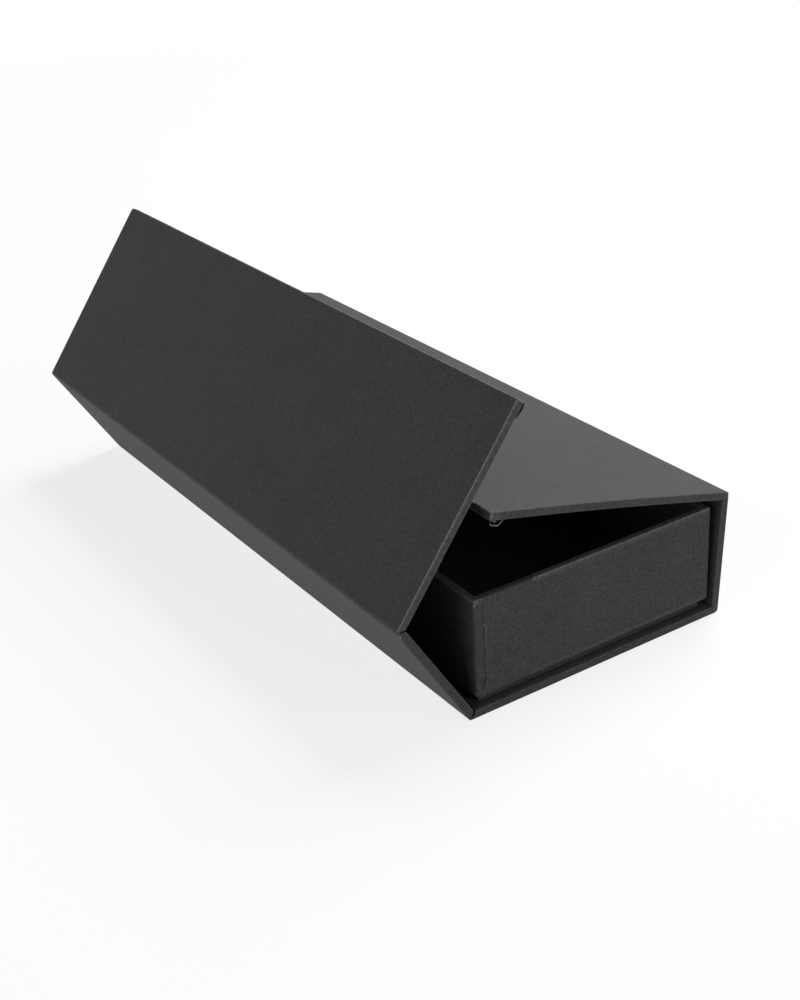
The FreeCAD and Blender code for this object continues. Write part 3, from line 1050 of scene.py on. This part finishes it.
def flap_blister():
    """The turn-in beside the flap's near corner, lifted most at the end."""
    panel = panels["left_flap"]
    low_u = panel.width - blister_length

    def lifted(u, y):
        share = (u - low_u) / (panel.width - low_u)
        rise = math.sin(math.pi * min(max(share, 0), 1) ** 1.3)
        into = (y + half_length) / blister_length
        return -half_thick + 0.08 * MM - blister_rise * rise * max(1 - into, 0) ** 2

    us = steps(low_u, panel.width - 0.15 * MM, 0.25 * MM)
    ys = steps(-half_length + 0.06 * MM, -half_length + blister_length, 0.4 * MM)
    points, faces, rubs_and_highlights = flat_field(us, ys, lifted)
    faces = [tuple(reversed(face)) for face in faces]
    piece = sheet_of("flap_loose_turn_in", (points, faces, rubs_and_highlights), panel.place, paper)
    added_to(piece, "left_flap_wrap", covering_paper)


lid_loop()
flap_blister()

# ---------------------------------------------------------------------------------------
# Frays: torn fibres of the black paper, paler inside. They stand along the tray's seam and
# the lid's free edge, and where the paper is cut at the rim, the flap's fold and the corners.
# ---------------------------------------------------------------------------------------


def torn_fibres():
    finish, wire = new_finish("torn fibres")
    tone = wire.grain(wire.place(), 0.3 * MM)
    wire.surface(Base_Color=tone.between(grey(0.06), grey(0.3, 0.03)), Roughness=0.9)
    return finish


def fray_rule():
    """Scatters short fibres along a line."""
    sizes = {
        "Count": "Int",
        "Fibre": "Float",
        "Spread": "Float",
        "Seed": "Int",
        "Paper": "Material",
    }
    tree, given = new_rule("frays along a cut", sizes)
    fibre, seed = given["Fibre"], given["Seed"]
    line = fibre.node("GeometryNodeMeshToCurve", {}, {0: given["Geometry"]})
    line = line.node("GeometryNodeResampleCurve", {}, {"Curve": line, "Count": given["Count"]})
    vector = {"data_type": "FLOAT_VECTOR"}
    spread = given["Spread"]
    corner = spread.node("ShaderNodeCombineXYZ", {}, {0: spread, 1: spread, 2: spread})
    minus = spread.node("ShaderNodeVectorMath", {"operation": "SCALE"}, {0: corner, "Scale": -1.0})
    strewn = line.node("FunctionNodeRandomValue", vector, {0: minus, 1: corner, "Seed": seed})
    line = line.node("GeometryNodeSetPosition", {}, {"Geometry": line, "Offset": strewn})
    turned = line.node("FunctionNodeRandomValue", vector, {1: (6.3, 6.3, 6.3), "Seed": seed + 1})
    size = line.node("FunctionNodeRandomValue", {}, {2: 0.4, 3: 1.5, "Seed": seed + 2}, 1)
    shape = fibre.node("ShaderNodeCombineXYZ", {}, {0: fibre, 1: fibre * 0.25, 2: fibre * 0.18})
    strand = fibre.node("GeometryNodeMeshCube", {}, {0: shape})
    placed = line.node(
        "GeometryNodeInstanceOnPoints",
        {},
        {"Points": line, "Instance": strand, "Rotation": turned, "Scale": size},
    )
    end_rule(placed, given["Paper"])
    return tree


def frays(name, node, line, count, seed, fibre, spread):
    """Fibres along a line of a cover, kept within the box's outline."""
    mesh = bpy.data.meshes.new(name + "_line")
    mesh.from_pydata(line, [(i, i + 1) for i in range(len(line) - 1)], [])
    values = {"Count": count, "Fibre": fibre, "Spread": spread, "Seed": seed, "Paper": torn}
    strands = by_rule(name, mesh, fray_tree, **values)
    for vert in strands.vertices:
        limits = zip(vert.co, *cad_box)
        vert.co = [min(max(value, low), high) for value, low, high in limits]
    added_to(bpy.data.objects.new(name, strands), node, torn)


torn = torn_fibres()
fray_tree = fray_rule()
seam_x = tray_low.x + seam_in
seam_y = tray_low.y - 0.08 * MM
seam_line = [
    (seam_x, seam_y, rim_height - 1.5 * MM),
    (seam_x, seam_y, foot_height + slant_height),
    (seam_x - 2 * MM, seam_y, foot_height + 0.4 * MM),
]
frays("tray_seam_frays", "tray_wrap", seam_line, 60, 3, 0.45 * MM, 0.12 * MM)
knot = [
    (seam_x + x * MM, seam_y, rim_height - z * MM)
    for x, z in ((0, 8.5), (0.5, 9.8), (0.1, 11))
]
frays("tray_seam_knot", "tray_wrap", knot, 12, 5, 0.6 * MM, 0.1 * MM)
nick = [
    (tray_low.x + x * MM, tray_low.y + y * MM, rim_height - z * MM)
    for x, y, z in ((0.1, 0.05, 1.7), (0.7, -0.05, 0.9), (1.6, 0.1, 0.0))
]
frays("tray_rim_frays", "tray_wrap", nick, 22, 6, 0.5 * MM, 0.08 * MM)


def at_near_end(panel, places):
    """Points just inside a panel's near end, from how far they lie in from its edge and out
    of it, in millimetres."""
    return [
        panel.place @ Vector((panel.width - back * MM, 0.04 * MM - half_length, w * MM))
        for back, w in places
    ]


corner_frays = {
    "flap_fold_frays": ("left_wall", ((0.1, 1.25), (0.5, 0.8), (1.3, 1.2)), 22, 7),
    "flap_corner_frays": ("left_flap", ((0.3, 1.0), (0.3, -0.6), (0.3, -1.4)), 12, 9),
    "lid_corner_frays": ("right_lid", ((0.3, 1.0), (0.3, -1.2), (2.5, -1.4)), 14, 11),
}
for name, (panel_name, places, count, seed) in corner_frays.items():
    line = at_near_end(panels[panel_name], places)
    frays(name, panel_name + "_wrap", line, count, seed, 0.45 * MM, 0.05 * MM)
lid = panels["right_lid"]
arris_in = 0.11 * MM
lid_arris = [
    lid.place @ Vector((lid.width - arris_in, y * MM - half_length, half_thick - arris_in))
    for y in (0.3, 18.0)
]
frays("lid_edge_frays", "right_lid_wrap", lid_arris, 130, 13, 0.6 * MM, 0.06 * MM)

# ---------------------------------------------------------------------------------------
# Studio: a pale floor that runs into a white background, a large soft box high on the
# right, two weaker ones low at the left and in front, and the camera.
# ---------------------------------------------------------------------------------------
floor_tint = (0.86, 0.81, 0.75, 1)
floor_reach = 6.0
lamp_away = 1.5
lamp_size = 0.9


def seen_directly(wire):
    """1 for what the camera sees, also in a mirror or through glass."""
    camera_ray = wire.node("ShaderNodeLightPath", {}, {}, 0)
    mirror_ray = wire.node("ShaderNodeLightPath", {}, {}, 3)
    glass_ray = wire.node("ShaderNodeLightPath", {}, {}, 6)
    return wire.maths("MAXIMUM", camera_ray, wire.maths("MAXIMUM", mirror_ray, glass_ray))


def studio_floor():
    """A matt floor that glows white far away, and lights the box a little warmer."""
    finish, wire = new_finish("studio floor")
    seen = seen_directly(wire)
    tint = seen.between(floor_tint, grey(0.9))
    matt = wire.node("ShaderNodeBsdfDiffuse", {}, {"Color": tint})
    glow = wire.node("ShaderNodeEmission", {}, {"Color": grey(1.0), "Strength": 1.0})
    away = wire.node("ShaderNodeVectorMath", {"operation": "LENGTH"}, {0: wire.place()}, 1)
    share = seen * away.stretch(0.4, 1.0, 0.8, 1.0)
    mixed = wire.node("ShaderNodeMixShader", {}, {0: share, 1: matt, 2: glow})
    wire.node("ShaderNodeOutputMaterial", {}, {"Surface": mixed})
    mesh = bpy.data.meshes.new("studio_floor")
    corners = [(-1, -1), (1, -1), (1, 1), (-1, 1)]
    places = [(x * floor_reach, y * floor_reach, -0.1 * MM) for x, y in corners]
    mesh.from_pydata(places, [], [(0, 1, 2, 3)])
    mesh.materials.append(finish)
    floor = bpy.data.objects.new("studio_floor", mesh)
    bpy.context.scene.collection.objects.link(floor)


def studio_sky():
    """White for what is seen directly, and no light from it."""
    world = bpy.data.worlds.new("studio_sky")
    world.use_nodes = True
    world.node_tree.nodes.clear()
    wire = Wire(world.node_tree)
    seen = seen_directly(wire)
    sky = wire.node("ShaderNodeBackground", {}, {"Color": grey(1.0), "Strength": seen})
    wire.node("ShaderNodeOutputWorld", {}, {"Surface": sky})
    bpy.context.scene.world = world


def soft_box(name, turn, lift, watts):
    """A square soft box aimed at the object, from a turn about it and a lift above it."""
    lamp = bpy.data.lights.new(name, "AREA")
    lamp.size = lamp_size
    lamp.energy = watts
    box = bpy.data.objects.new(name, lamp)
    turn, lift = math.radians(turn), math.radians(lift)
    flat = math.cos(lift)
    way = Vector((flat * math.cos(turn), flat * math.sin(turn), math.sin(lift)))
    box.location = way * lamp_away
    box.rotation_euler = (-way).to_track_quat("-Z", "Y").to_euler()
    bpy.context.scene.collection.objects.link(box)


studio_floor()
studio_sky()
soft_box("right_soft_box", turn=13.65, lift=52, watts=26.9)
soft_box("left_soft_box", turn=193.65, lift=22, watts=8.5)
soft_box("front_soft_box", turn=-76.35, lift=22, watts=7.8)

camera_turn = (62.9792, 3.1759, -33.5277)
camera_data = bpy.data.cameras.new("camera")
camera_data.lens = 56.136
camera_data.sensor_width = 36
camera_data.clip_start = 0.01
camera = bpy.data.objects.new("camera", camera_data)
camera.location = (-0.25432, -0.42175, 0.25777)
camera.rotation_euler = Euler([math.radians(angle) for angle in camera_turn])
bpy.context.scene.collection.objects.link(camera)
bpy.context.scene.camera = camera
bpy.context.scene.view_settings.view_transform = "Standard"
